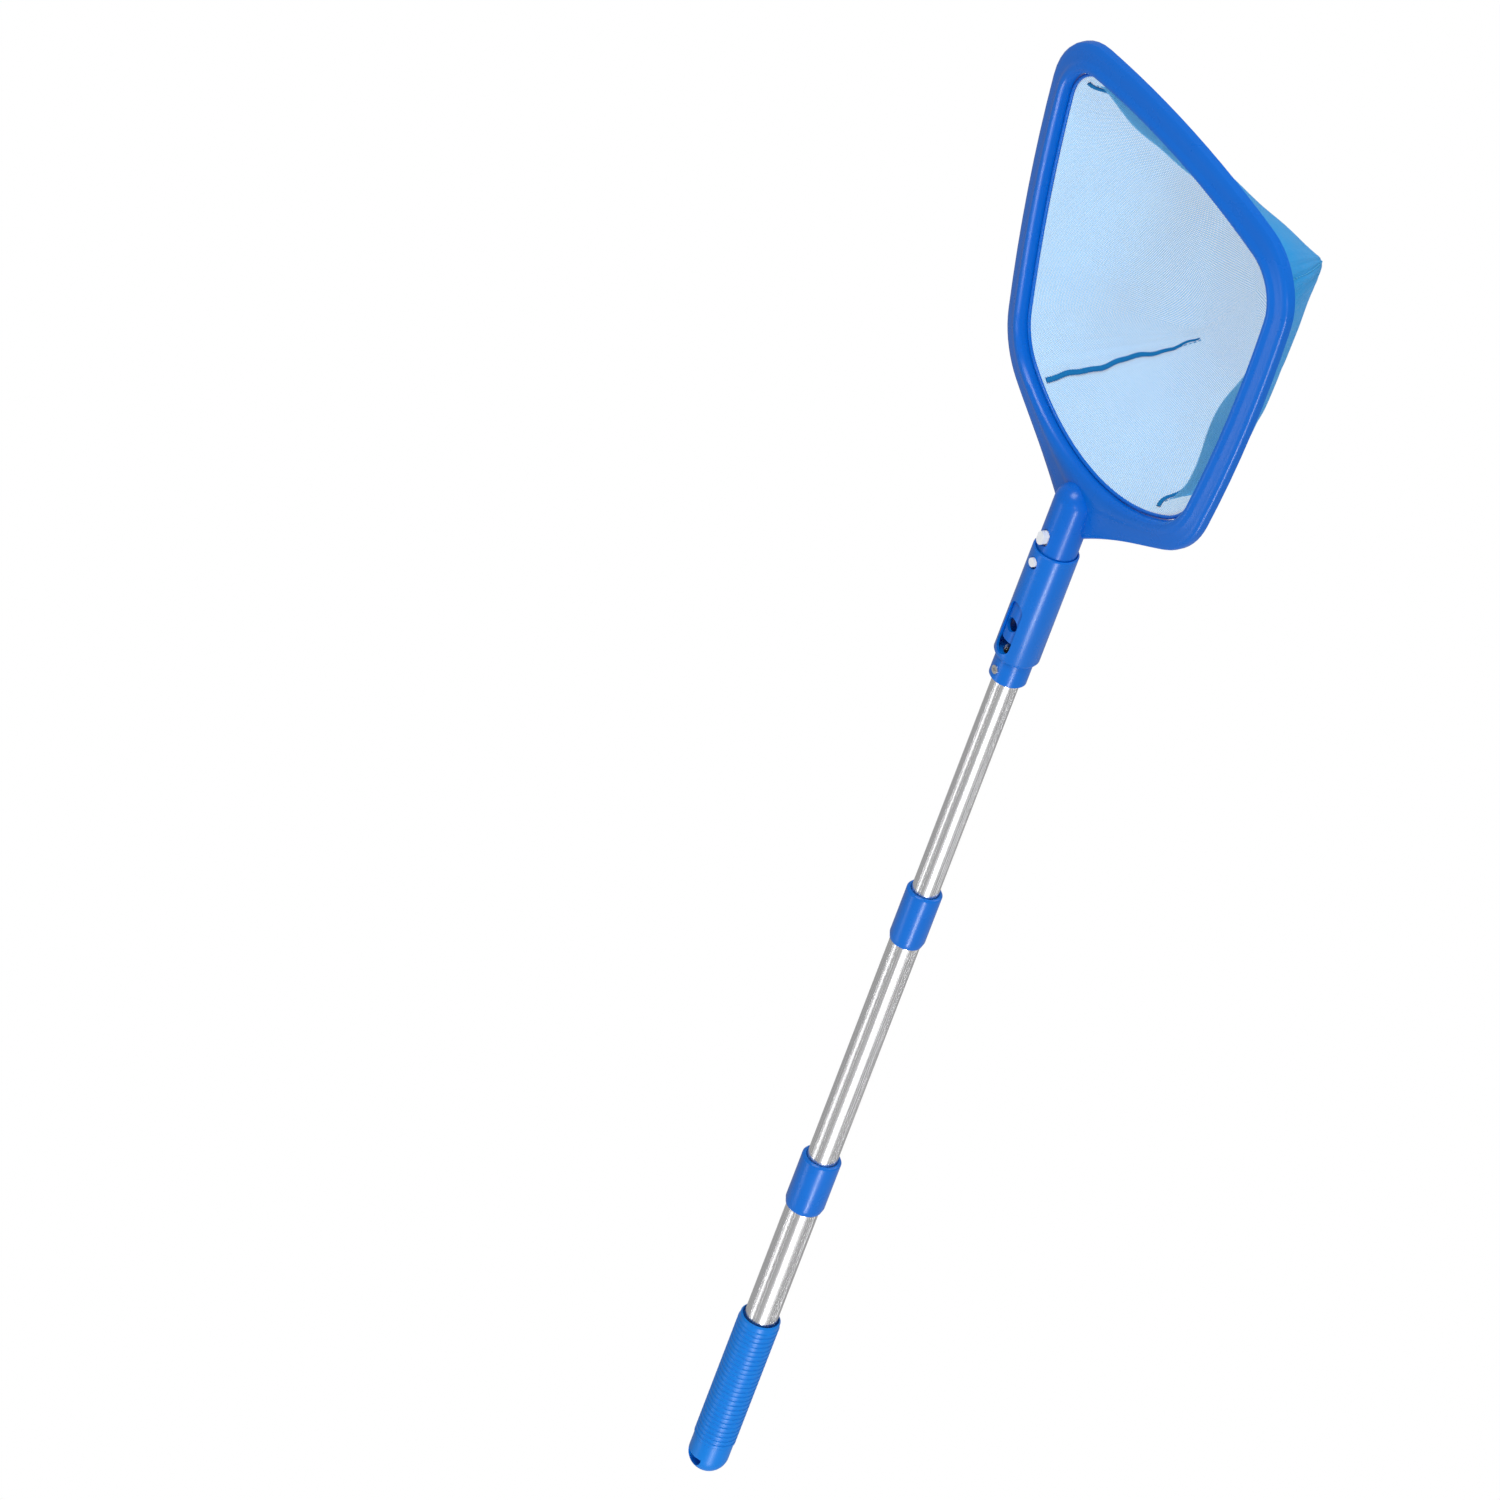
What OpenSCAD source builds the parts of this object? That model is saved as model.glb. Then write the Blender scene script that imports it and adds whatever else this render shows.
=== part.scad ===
// Leaf skimmer net: a telescoping three-section pole with a plug-on net head.
// +Z runs up the pole, the net's mouth faces -Y, and the bag hangs towards +Y.
// The origin is on the pole's axis, at the middle of the hang hole in the grip.

/* [Pole] */
// Outer diameter of the grip over its ribs
grip_d = 26.2; // [25.6:0.1:27]
// Height of the grip's top rim above the hang hole
grip_top = 113; // [105:1:118]
// Outer diameter of the lower tube
lower_d = 20.5; // [20.4:0.1:20.6]
// Outer diameter of the middle tube
middle_d = 18.8; // [18.7:0.05:18.8]
// Outer diameter of the upper tube
upper_d = 16.7; // [16.4:0.1:16.9]
// Wall of every tube
tube_wall = 0.8; // [0.7:0.05:0.8]
// Top of the lower collar
lower_joint = 239; // [236:1:242]
// Top of the upper collar
upper_joint = 445; // [442:1:448]
// Length of each collar
collar_len = 38; // [34:1:40]

/* [Socket] */
// Height of the socket's lower edge
socket_base = 605; // [600:1:605]
// Outer diameter of the socket's barrel
socket_d = 28; // [27.6:0.1:29]
// Outer diameter of the socket's stepped lower collar
socket_step_d = 23; // [22:0.1:24]
// Width of the slot through both of the barrel's walls
slot_w = 12; // [10:0.5:13]

/* [Net head] */
// Outer diameter of the stub that plugs into the socket
stub_d = 24.6; // [24.4:0.1:24.6]
// Height of the middle of the frame's far edge
frame_top = 998; // [994:1:1001]
// Centre of the frame's far corner, across
far_x = 81; // [78:1:84]
// Centre of the frame's shoulder, across
shoulder_x = 50; // [48:0.5:52]
// How far the bag's bottom hangs behind the frame
bag_depth = 78; // [65:1:90]

// How far the head leans forward over its mouth, in degrees
head_lean = 5.3; // [3:0.1:7]

/* [Hidden] */

blue = [0.02, 0.29, 0.76];
$fn = 64;

// Grip
grip_r = grip_d / 2;
rib_depth = 0.5;
rib_pitch = 3.6;
rib_count = 26;
rib_start = 16;
grip_end = -9;
hang_r = 7;
hang_z = 3.2;
hang_flat = 3.75;
tube_foot = 12;

// Cam locks: the plug sits in the foot of the inner tube, the ring hangs on the plug's stem
overlap_len = 49;
plug_in = 15;
ring_len = 10;
ring_gap = 0.3;
foot_len = 4;
pin_r = 1.5;
lobe = 0.5;

// Socket and stub
step_len = 16;
barrel_wall = 1.6;
socket_top = socket_base + 94;
barrel_floor = socket_base + step_len;
stub_end = socket_base + 29;
stub_wall = 2;
dome_z = stub_end + 99;
bore_top = stub_end + 98;
catch_pin_z = socket_top - 8;
button_z = socket_top + 10;
lock_pin_r = 2.9;
hole_play = 0.35;
catch_drop = 1.3;
stub_hole_z = stub_end + 11;
stub_hole_r = 4.5;
slot_low = barrel_floor + 4;
slot_high = slot_low + 36;
screw_z = socket_base + 7;
screw_r = 1.4;
screw_head_r = 2.7;

// Catches: two sprung legs on one bow
bow_z = stub_end + 88;
bow_r = 4;
leg_w = 6;
leg_out = 9.6;
leg_in = 8;
leg_low = catch_pin_z - 7;

// Frame
far_z = frame_top - 46;
far_r = 41;
shoulder_z = frame_top - 192;
shoulder_r = 55;
frame_low = frame_top - 262;
mouth_top = frame_top - 17;
mouth_low = frame_top - 245;
mouth_far = [far_x - 1, far_z - 4];
mouth_far_r = 27;
mouth_shoulder = [shoulder_x - 2, shoulder_z + 5];
mouth_shoulder_r = 43;
side_r = 900;
neck_drop = 32;
neck_half = 78;
neck_curve = 2.2;
lean_z = stub_end + 111;
lean_y = 1.5;

function arc(c, r, a, b, n) = [for (i = [0:n - 1]) let(t = a + (b - a) * i / n) c + r * [cos(t), sin(t)]];

// Radius of an arc centred on the axis that passes a height and meets a corner circle
function crown_radius(x, drop, r) = (x * x + drop * drop - r * r) / (2 * (drop - r));

// Centre of the side's arc, which touches both corner circles from outside
function side_centre(p, rp, q, rq) =
    let(
        d = norm(q - p),
        e = (q - p) / d,
        a = (side_r - rp) * (side_r - rp),
        b = (side_r - rq) * (side_r - rq),
        t = (a - b + d * d) / (2 * d)
    )
    p + t * e + sqrt(a - t * t) * [e[1], -e[0]];

// Right half of an outline, from the far edge's middle round to the neck's middle
function half_outline(top, p, rp, q, rq, low) =
    let(
        crown_r = crown_radius(p[0], top - p[1], rp),
        crown = [0, top - crown_r],
        base_r = crown_radius(q[0], q[1] - low, rq),
        base = [0, low + base_r],
        side = side_centre(p, rp, q, rq),
        a1 = atan2(p[1] - crown[1], p[0]),
        a2 = atan2(p[1] - side[1], p[0] - side[0]),
        a3 = atan2(q[1] - side[1], q[0] - side[0]),
        a4 = atan2(q[1] - base[1], q[0])
    )
    concat(
        arc(crown, crown_r, 90, a1, 6),
        arc(p, rp, a1, a2, 10),
        arc(side, side_r, a2, a3, 8),
        arc(q, rq, a3, a4, 9),
        arc(base, base_r, a4, -90, 14),
        [[0, low]]
    );

// The whole outline: the right half, then its mirror image without the two shared points
function whole(half) = concat(half, [for (i = [len(half) - 2:-1:1]) [-half[i][0], half[i][1]]]);

// The neck: the outer edge dips to the stub
function dip(p) =
    let(s = max(0, 1 - abs(p[0]) / neck_half))
    p[1] > shoulder_z ? p : [p[0], p[1] - neck_drop * pow(s, neck_curve)];

function mouth(inset) = whole(half_outline(
    mouth_top - inset,
    mouth_far, mouth_far_r - inset,
    mouth_shoulder, mouth_shoulder_r - inset,
    mouth_low + inset
));
rim = [for (p = whole(half_outline(
    frame_top, [far_x, far_z], far_r, [shoulder_x, shoulder_z], shoulder_r, frame_low
))) dip(p)];
inner = mouth(0);

// Cross-section of the frame: [share of the way from the mouth to the rim, depth]
section = [
    [0.3, 4.6], [0.34, 1.2], [0.42, 0.4], [0.9, 2.2], [0.92, 4.8],
    [1, 4.8], [1, 1.8], [0.97, 0], [0.88, -1.2], [0.7, -1.8], [0.46, -2.4],
    [0.38, -3], [0.3, -4], [0.2, -4.4], [0.1, -4], [0.03, -2.6], [0, -0.6], [0, 4.6]
];

// The head's own upright shape, leaned forward about the neck
module leaned() {
    translate([0, lean_y, lean_z]) rotate([head_lean, 0, 0]) translate([0, 0, -lean_z]) children();
}

// A closed tube through rings of points: each ring is one cross-section
module ring_sweep(rings) {
    n = len(rings);
    m = len(rings[0]);
    polyhedron(
        points = [for (ring = rings) for (p = ring) p],
        faces = [for (i = [0:n - 1]) for (j = [0:m - 1])
            let(u = (i + 1) % n, v = (j + 1) % m)
            each [
                [i * m + j, u * m + j, i * m + v],
                [i * m + v, u * m + j, u * m + v]
            ]]
    );
}

// A capped tube through rings of points
module capped_sweep(rings) {
    n = len(rings);
    m = len(rings[0]);
    polyhedron(
        points = [for (ring = rings) for (p = ring) p],
        faces = concat(
            [[for (j = [0:m - 1]) j]],
            [for (i = [0:n - 2]) for (j = [0:m - 1])
                let(v = (j + 1) % m)
                each [
                    [i * m + j, (i + 1) * m + j, i * m + v],
                    [i * m + v, (i + 1) * m + j, (i + 1) * m + v]
                ]],
            [[for (j = [m - 1:-1:0]) (n - 1) * m + j]]
        )
    );
}

// Extruded aluminium tube with groups of fine flutes
module fluted_tube(d, low, high) {
    groups = 5;
    flute_w = 0.8;
    flute_depth = 0.3;
    translate([0, 0, low]) linear_extrude(high - low) difference() {
        circle(r = d / 2);
        circle(r = d / 2 - tube_wall);
        for (g = [0:groups - 1]) for (k = [-1.5:1:1.5])
            rotate(360 / groups * g + k * 9)
                translate([d / 2 - flute_depth, -flute_w / 2]) square([1, flute_w]);
    }
}

// Collar on the end of an outer tube, with a lip round the inner one
module collar(outer_d, tube_d, inner_d, top) {
    lip = 5;
    foot = 3.2;
    crown = 1.2;
    low = top - collar_len;
    rotate_extrude() polygon([
        [tube_d / 2, low], [outer_d / 2 - 0.9, low], [outer_d / 2, low + foot],
        [outer_d / 2, top - crown], [outer_d / 2 - 0.6, top - 0.3], [outer_d / 2 - 1.2, top],
        [inner_d / 2 + 0.7, top], [inner_d / 2 + 0.1, top - 0.8],
        [inner_d / 2 + 0.1, top - lip], [tube_d / 2, top - lip]
    ]);
}

// Plug in the foot of an inner tube, with the stem and the cam that spread the ring
module cam_plug(tube_d, foot_z) {
    bore = tube_d / 2 - tube_wall;
    stem_r = bore - 3.2;
    ring_z = foot_z - ring_gap - ring_len;
    difference() {
        union() {
            translate([0, 0, foot_z]) cylinder(h = plug_in, r = bore);
            translate([0, 0, ring_z - ring_gap - foot_len])
                cylinder(h = foot_z + 1 - ring_z + ring_gap + foot_len, r = stem_r);
            translate([0, 0, ring_z - ring_gap - foot_len]) cylinder(h = foot_len, r = bore);
            for (a = [0, 180]) rotate(a) intersection() {
                translate([0, 0, ring_z]) cylinder(h = ring_len, r = stem_r + lobe);
                translate([0, -2, ring_z - 1]) cube([20, 4, ring_len + 2]);
            }
        }
        translate([0, 0, foot_z + plug_in / 2]) rotate([90, 0, 0])
            cylinder(h = tube_d, r = pin_r, center = true);
    }
}

// Split ring that the cam's lobes press against the outer tube's wall
module cam_ring(outer_bore, inner_bore, foot_z) {
    stem_r = inner_bore - 3.2;
    translate([0, 0, foot_z - ring_gap - ring_len]) linear_extrude(ring_len) difference() {
        circle(r = outer_bore - 0.06);
        difference() {
            circle(r = stem_r + lobe + 0.06 + 0.4);
            for (a = [0, 180]) rotate(a)
                difference() {
                    translate([stem_r, -2.4]) square([4, 4.8]);
                    circle(r = stem_r + lobe + 0.06);
                }
        }
        rotate(90) translate([0, -1]) square([20, 2]);
    }
}

module cam_pin(tube_d, foot_z) {
    translate([0, 0, foot_z + plug_in / 2]) rotate([90, 0, 0])
        cylinder(h = tube_d - 0.6, r = pin_r, center = true);
}

// Section tube with the hole that its cam's pin goes through
module inner_section(d, low, high) {
    difference() {
        fluted_tube(d, low, high);
        translate([0, 0, low + plug_in / 2]) rotate([90, 0, 0])
            cylinder(h = d + 2, r = pin_r, center = true);
    }
}

module grip() {
    ribs = [for (i = [0:rib_count - 1]) let(z = rib_start + rib_pitch * i)
        each [[grip_r - rib_depth, z], [grip_r, z + 0.6], [grip_r, z + 2.2], [grip_r - rib_depth, z + 2.8]]];
    color(blue) difference() {
        union() {
            rotate_extrude() polygon(concat(
                [[0, 4], [grip_r - rib_depth, 4]],
                ribs,
                [[grip_r - rib_depth, grip_top - 1], [grip_r - rib_depth - 0.8, grip_top], [0, grip_top]]
            ));
            translate([0, 0, grip_end + grip_r]) intersection() {
                sphere(r = grip_r - rib_depth);
                translate([0, 0, -20]) cube([40, 40, 40], center = true);
            }
        }
        translate([0, 0, tube_foot]) cylinder(h = grip_top, r = lower_d / 2);
        translate([0, 0, grip_top - 4]) cylinder(h = 5, r = lower_d / 2 + 1.3);
        rotate([90, 0, 0]) linear_extrude(40, center = true) intersection() {
            translate([0, hang_z]) circle(r = hang_r);
            translate([-hang_r, hang_flat - 2 * hang_r]) square(2 * hang_r);
        }
    }
}

module lower_tube() {
    color("silver") fluted_tube(lower_d, tube_foot, lower_joint - 5);
}

module lower_collar() {
    color(blue) collar(24.5, lower_d, middle_d, lower_joint);
}

module lower_cam_ring() {
    color("white") cam_ring(lower_d / 2 - tube_wall, middle_d / 2 - tube_wall, lower_joint - overlap_len);
}

module lower_cam_plug() {
    color("white") cam_plug(middle_d, lower_joint - overlap_len);
}

module lower_cam_pin() {
    color("silver") cam_pin(middle_d, lower_joint - overlap_len);
}

module middle_tube() {
    color("silver") inner_section(middle_d, lower_joint - overlap_len, upper_joint - 5);
}

module upper_collar() {
    color(blue) collar(22, middle_d, upper_d, upper_joint);
}

module upper_cam_ring() {
    color("white") cam_ring(middle_d / 2 - tube_wall, upper_d / 2 - tube_wall, upper_joint - overlap_len);
}

module upper_cam_plug() {
    color("white") cam_plug(upper_d, upper_joint - overlap_len);
}

module upper_cam_pin() {
    color("silver") cam_pin(upper_d, upper_joint - overlap_len);
}

module upper_tube() {
    color("silver") difference() {
        inner_section(upper_d, upper_joint - overlap_len, barrel_floor);
        translate([0, 0, screw_z]) rotate([90, 0, 0]) cylinder(h = 40, r = screw_r, center = true);
    }
}

// Slot right through along Y, round at both ends, that a catch's pin or button swings in
module catch_slot(r, high, low) {
    for (z = [high, low])
        translate([0, 0, z]) rotate([90, 0, 0]) cylinder(h = 40, r = r, center = true);
    translate([-r, -20, low]) cube([2 * r, 40, high - low]);
}

module head_socket() {
    r = socket_d / 2;
    step_r = socket_step_d / 2;
    color(blue) difference() {
        rotate_extrude() polygon([
            [upper_d / 2, socket_base], [step_r - 0.5, socket_base], [step_r, socket_base + 0.6],
            [step_r, barrel_floor - 1], [r - 0.8, barrel_floor + 0.6], [r, barrel_floor + 2],
            [r, socket_top - 0.8], [r - 0.6, socket_top], [r - barrel_wall + 0.5, socket_top],
            [r - barrel_wall, socket_top - 0.8], [r - barrel_wall, barrel_floor + 2],
            [upper_d / 2, barrel_floor + 2]
        ]);
        for (z = [slot_low + slot_w / 2, slot_high - slot_w / 2])
            translate([0, 0, z]) rotate([90, 0, 0]) cylinder(h = 40, r = slot_w / 2, center = true);
        translate([-slot_w / 2, -20, slot_low + slot_w / 2])
            cube([slot_w, 40, slot_high - slot_low - slot_w]);
        catch_slot(lock_pin_r + hole_play, catch_pin_z, catch_pin_z - catch_drop);
        translate([0, 0, screw_z]) rotate([90, 0, 0]) cylinder(h = 20, r = screw_r);
        translate([0, -step_r + 0.4, screw_z]) rotate([90, 0, 0]) cylinder(h = 5, r = screw_head_r + 0.1);
        // arched notch round the rivet, at the back
        translate([0, 20, socket_base + 7]) rotate([90, 0, 0]) cylinder(h = 20, r = 4);
        translate([-4, 0, socket_base - 1]) cube([8, 20, 8]);
    }
}

module socket_screw() {
    step_r = socket_step_d / 2;
    color("silver") difference() {
        union() {
            translate([0, -step_r + 0.4, screw_z]) rotate([90, 0, 0]) cylinder(h = 1.1, r = screw_head_r);
            translate([0, -upper_d / 2 + 3, screw_z]) rotate([90, 0, 0])
                cylinder(h = step_r - upper_d / 2 + 3, r = screw_r);
        }
        for (a = [0, 90])
            translate([0, -step_r - 0.6, screw_z]) rotate([0, a, 0]) cube([3.2, 1.2, 0.7], center = true);
    }
}

module socket_rivet() {
    color("silver") union() {
        translate([0, upper_d / 2 + 1.2, screw_z]) rotate([90, 0, 0]) cylinder(h = 1.2, r = 2.6);
        translate([0, upper_d / 2 + 1, screw_z]) rotate([90, 0, 0]) cylinder(h = 3.4, r = screw_r);
    }
}

module head_frame() {
    r = stub_d / 2;
    color(blue) difference() {
        union() {
            leaned() ring_sweep([for (i = [0:len(rim) - 1])
                [for (s = section) let(p = inner[i] + s[0] * (rim[i] - inner[i])) [p[0], s[1], p[1]]]]);
            translate([0, 0, stub_end]) cylinder(h = dome_z - stub_end, r = r);
            translate([0, 0, dome_z]) sphere(r = r);
        }
        translate([0, 0, stub_end - 1]) cylinder(h = bore_top - stub_end + 1, r = r - stub_wall);
        translate([0, 0, stub_hole_z]) rotate([90, 0, 0]) cylinder(h = 40, r = stub_hole_r, center = true);
        catch_slot(lock_pin_r + hole_play, catch_pin_z, catch_pin_z - catch_drop);
        catch_slot(3 + hole_play, button_z + 1.5, button_z - 1.5 - catch_drop);
    }
}

// The bag: rings that shrink from the mouth to the four-cornered bottom
bag_inset = 2.2;
bag_wall = 1;
bag_rings = 6;
bottom_far = [42, far_z - 21];
bottom_near = [30, shoulder_z + 16];

// Where a mouth point lands on the bottom, by its share of the way round each quarter
function bottom_outline(points) =
    let(mid = (bottom_far[1] + bottom_near[1]) / 2, span = far_z - shoulder_z)
    [for (p = points)
        let(
            t = min(1, max(0, (p[1] - shoulder_z) / span)),
            z = bottom_near[1] + (bottom_far[1] - bottom_near[1]) * t,
            w = bottom_near[0] + (bottom_far[0] - bottom_near[0]) * t,
            reach = mouth_far[0] + mouth_far_r - bag_inset,
            near = mouth_shoulder[0] + mouth_shoulder_r - bag_inset,
            full = near + (reach - near) * t
        )
        [w * min(1, max(-1, p[0] / full * 1.25)), z]];

function bag_ring(inset, share, back) =
    let(top = mouth(inset), low = bottom_outline(top), f = pow(share, 1.25))
    [for (i = [0:len(top) - 1])
        let(p = top[i] + f * (low[i] - top[i])) [p[0], back, p[1]]];

module net_bag() {
    start = 5.2;
    outer = [for (k = [0:bag_rings]) let(s = k / bag_rings)
        bag_ring(bag_inset, s, start + (bag_depth - start) * s)];
    inner_side = [for (k = [bag_rings:-1:0]) let(s = k / bag_rings)
        bag_ring(bag_inset + bag_wall, s, start + (bag_depth - bag_wall - start) * s)];
    rings = concat(outer, inner_side);
    n = len(rings[0]);
    last = len(rings) - 1;
    middle = [0, bag_depth, (bottom_far[1] + bottom_near[1]) / 2];
    points = concat([for (ring = rings) for (p = ring) p], [middle, middle - [0, bag_wall, 0]]);
    hub = len(points) - 2;
    color([0.6, 0.82, 0.96]) leaned() polyhedron(
        points = points,
        faces = concat(
            [for (i = [0:last]) if (i != bag_rings) for (j = [0:n - 1])
                let(u = (i + 1) % (last + 1), v = (j + 1) % n)
                each [
                    [i * n + j, u * n + j, i * n + v],
                    [i * n + v, u * n + j, u * n + v]
                ]],
            [for (j = [0:n - 1]) [bag_rings * n + (j + 1) % n, bag_rings * n + j, hub]],
            [for (j = [0:n - 1]) [(bag_rings + 1) * n + j, (bag_rings + 1) * n + (j + 1) % n, hub + 1]]
        )
    );
}

// Round cord that edges the net, just inside the frame's mouth
module net_piping() {
    line = mouth(1.5);
    n = len(line);
    r = 1.1;
    color(blue) leaned() ring_sweep([for (i = [0:n - 1])
        let(
            d = line[(i + 1) % n] - line[(i + n - 1) % n],
            out = [-d[1], d[0]] / norm(d)
        )
        [for (a = [0:60:300])
            let(p = line[i] - out * r * cos(a)) [p[0], 3.2 + r * sin(a), p[1]]]]);
}

// Overlocked seam along one corner of the bag, a little inside its wall
far_corner = 11;
near_corner = 35;

module seam(corner, side) {
    steps = 12;
    w = 1.7;
    thick = 0.5;
    off = 1.9;
    first = 0.05;
    path = [for (k = [0:steps + 1])
        let(s = first + (0.93 - first) * k / steps, start = 5.2)
        bag_ring(bag_inset + bag_wall, s, start + (bag_depth - bag_wall - start) * s)[corner]];
    rings = [for (k = [0:steps])
        let(
            along = (path[k + 1] - path[k]) / norm(path[k + 1] - path[k]),
            hub = [0, path[k][1], far_z - 68] - path[k],
            flat = hub - along * (hub * along),
            lift = flat / norm(flat),
            across = cross(along, lift),
            t = k / steps,
            h = w * (1 - 0.6 * t * t),
            c = path[k] + lift * off
        )
        [for (q = [[-1, -1], [-1, 1], [1, 1], [1, -1]]) c + across * q[0] * h + lift * q[1] * thick]];
    color([0.03, 0.4, 0.78]) leaned() if (side > 0) capped_sweep(rings);
    else mirror([1, 0, 0]) capped_sweep(rings);
}

module clip_bow() {
    color("white") translate([0, 0, bow_z]) rotate([0, 90, 0])
        cylinder(h = leg_w, r = bow_r, center = true);
}

// One sprung leg of the clip, on the mouth's side, with its lock pin and finger button
module catch_leg() {
    hug = bow_r + 0.06;
    back = bow_r + 1.6;
    arc_in = [for (a = [105:15:180]) hug * [cos(a), sin(a)]];
    arc_out = [for (a = [180:-15:105]) back * [cos(a), sin(a)]];
    drop = bow_z - leg_low;
    translate([-leg_w / 2, 0, bow_z]) rotate([90, 0, 90]) linear_extrude(leg_w) polygon(concat(
        arc_in,
        [[-4.5, -2.5], [-leg_in, -11], [-leg_in, -drop], [-leg_out, -drop], [-leg_out, -10.5]],
        arc_out
    ));
    translate([0, -leg_in - 0.4, catch_pin_z]) rotate([90, 0, 0])
        cylinder(h = 15.2 - leg_in - 0.4, r = lock_pin_r - 0.1);
    for (z = [-1.5, 1.5])
        translate([0, -leg_in - 0.4, button_z + z]) rotate([90, 0, 0])
            cylinder(h = 16 - leg_in - 0.4, r = 2.8);
    translate([-2.8, -16, button_z - 1.5]) cube([5.6, 16 - leg_in - 0.4, 3]);
}

module front_catch() {
    color("white") catch_leg();
}

module rear_catch() {
    color("white") mirror([0, 1, 0]) catch_leg();
}

grip();
lower_tube();
lower_collar();
lower_cam_ring();
lower_cam_plug();
lower_cam_pin();
middle_tube();
upper_collar();
upper_cam_ring();
upper_cam_plug();
upper_cam_pin();
upper_tube();
head_socket();
socket_screw();
socket_rivet();
head_frame();
net_bag();
net_piping();
seam(far_corner, -1);  // seam_far_left
seam(far_corner, 1);  // seam_far_right
seam(near_corner, -1);  // seam_near_left
seam(near_corner, 1);  // seam_near_right
clip_bow();
front_catch();
rear_catch();
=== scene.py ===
# %% [markdown]
# # A leaf skimmer net
# The hard parts of this object are already designed in CAD: tubes, collars, grip, socket, frame,
# the piping round the mouth and the cam locks inside. This lesson dresses them. It makes the
# knitted bag, its four sewn seams and every material, then sets a studio up round the result.
# Each section says what a piece is on the real object, how it could be made, and why this way.

import math

import bmesh
import bpy
import numpy as np
from mathutils import Matrix, Vector, noise


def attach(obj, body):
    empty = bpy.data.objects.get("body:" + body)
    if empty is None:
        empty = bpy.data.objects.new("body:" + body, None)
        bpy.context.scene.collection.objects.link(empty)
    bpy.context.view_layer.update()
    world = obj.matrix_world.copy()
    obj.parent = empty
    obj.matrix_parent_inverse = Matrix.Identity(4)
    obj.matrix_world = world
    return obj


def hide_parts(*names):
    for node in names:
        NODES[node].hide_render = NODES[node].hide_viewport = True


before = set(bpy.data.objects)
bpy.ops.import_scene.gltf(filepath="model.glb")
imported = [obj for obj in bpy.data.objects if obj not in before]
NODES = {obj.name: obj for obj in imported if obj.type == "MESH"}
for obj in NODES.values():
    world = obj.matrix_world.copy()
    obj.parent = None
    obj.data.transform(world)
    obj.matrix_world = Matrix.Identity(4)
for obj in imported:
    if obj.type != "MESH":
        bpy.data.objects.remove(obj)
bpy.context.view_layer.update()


# %% [markdown]
# ## Smooth shading for the CAD parts
# A moulded part looks faceted when each face is lit by itself. The CAD meshes are loose triangles,
# so a Weld modifier joins them first, and an Edge Split modifier then parts them again along the
# real edges, such as a collar's chamfer. Everything flatter than its angle is shaded as one.

# %% Weld and shade the CAD parts
SHARP_ANGLE = 30
SOFT_ANGLE = {"head_frame": 36, "net_piping": 80}
WELD_WITHIN = 1e-6


def deselect():
    for o in bpy.context.selected_objects:
        o.select_set(False)


def shade_cad(part, degrees):
    obj = NODES[part]
    obj.data.shade_smooth()
    weld = obj.modifiers.new("weld", "WELD")
    weld.merge_threshold = WELD_WITHIN
    split = obj.modifiers.new("edges", "EDGE_SPLIT")
    split.split_angle = math.radians(degrees)
    split.use_edge_sharp = False


deselect()
for part in NODES:
    shade_cad(part, SOFT_ANGLE.get(part, SHARP_ANGLE))
print("shaded", len(NODES), "CAD parts")


# %% [markdown]
# ## Shader helpers
# Four effects turn up on more than one material: the grain and mottle of a mould, the streaks of
# worked metal, the knit, and the flecks of thread. Each could be copied into every material, but
# then a change has to be made in each copy. Here each is a node group with named inputs, built
# once, so every plastic on the object shares one recipe with its own values.

# %% Small node-tree helpers
def new_group(name, inputs, outputs):
    tree = bpy.data.node_groups.new(name, "ShaderNodeTree")
    for label, kind, value in inputs:
        socket = tree.interface.new_socket(label, in_out="INPUT", socket_type=kind)
        if value is not None:
            socket.default_value = value
    for label, kind in outputs:
        tree.interface.new_socket(label, in_out="OUTPUT", socket_type=kind)
    return tree, tree.nodes.new("NodeGroupInput"), tree.nodes.new("NodeGroupOutput")


def add(tree, kind, **values):
    node = tree.nodes.new(kind)
    for key, value in values.items():
        if hasattr(node, key):
            setattr(node, key, value)
        else:
            node.inputs[key.replace("_", " ")].default_value = value
    return node


def calc(tree, operation, a, b=None, clamp=False):
    node = tree.nodes.new("ShaderNodeMath")
    node.operation = operation
    node.use_clamp = clamp
    for k, value in enumerate((a, b)):
        if value is None:
            continue
        if isinstance(value, (int, float)):
            node.inputs[k].default_value = value
        else:
            tree.links.new(value, node.inputs[k])
    return node.outputs[0]


def blend_colours(tree, factor, a, b):
    """A Mix node keeps its colour sockets at 6 and 7, and its colour result at 2."""
    node = tree.nodes.new("ShaderNodeMix")
    node.data_type = "RGBA"
    for k, value in ((0, factor), (6, a), (7, b)):
        if isinstance(value, tuple):
            node.inputs[k].default_value = value
        else:
            tree.links.new(value, node.inputs[k])
    return node.outputs[2]


def start_material(name):
    mat = bpy.data.materials.new(name)
    mat.use_nodes = True
    return mat, mat.node_tree, mat.node_tree.nodes["Principled BSDF"]


def place_group(tree, group, values):
    """Put a group in a material, with the material's own values for its inputs."""
    node = tree.nodes.new("ShaderNodeGroup")
    node.node_tree = group
    for label, value in values.items():
        is_colour = node.inputs[label].type == "RGBA"
        node.inputs[label].default_value = (*value, 1) if is_colour else value
    return node


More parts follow.
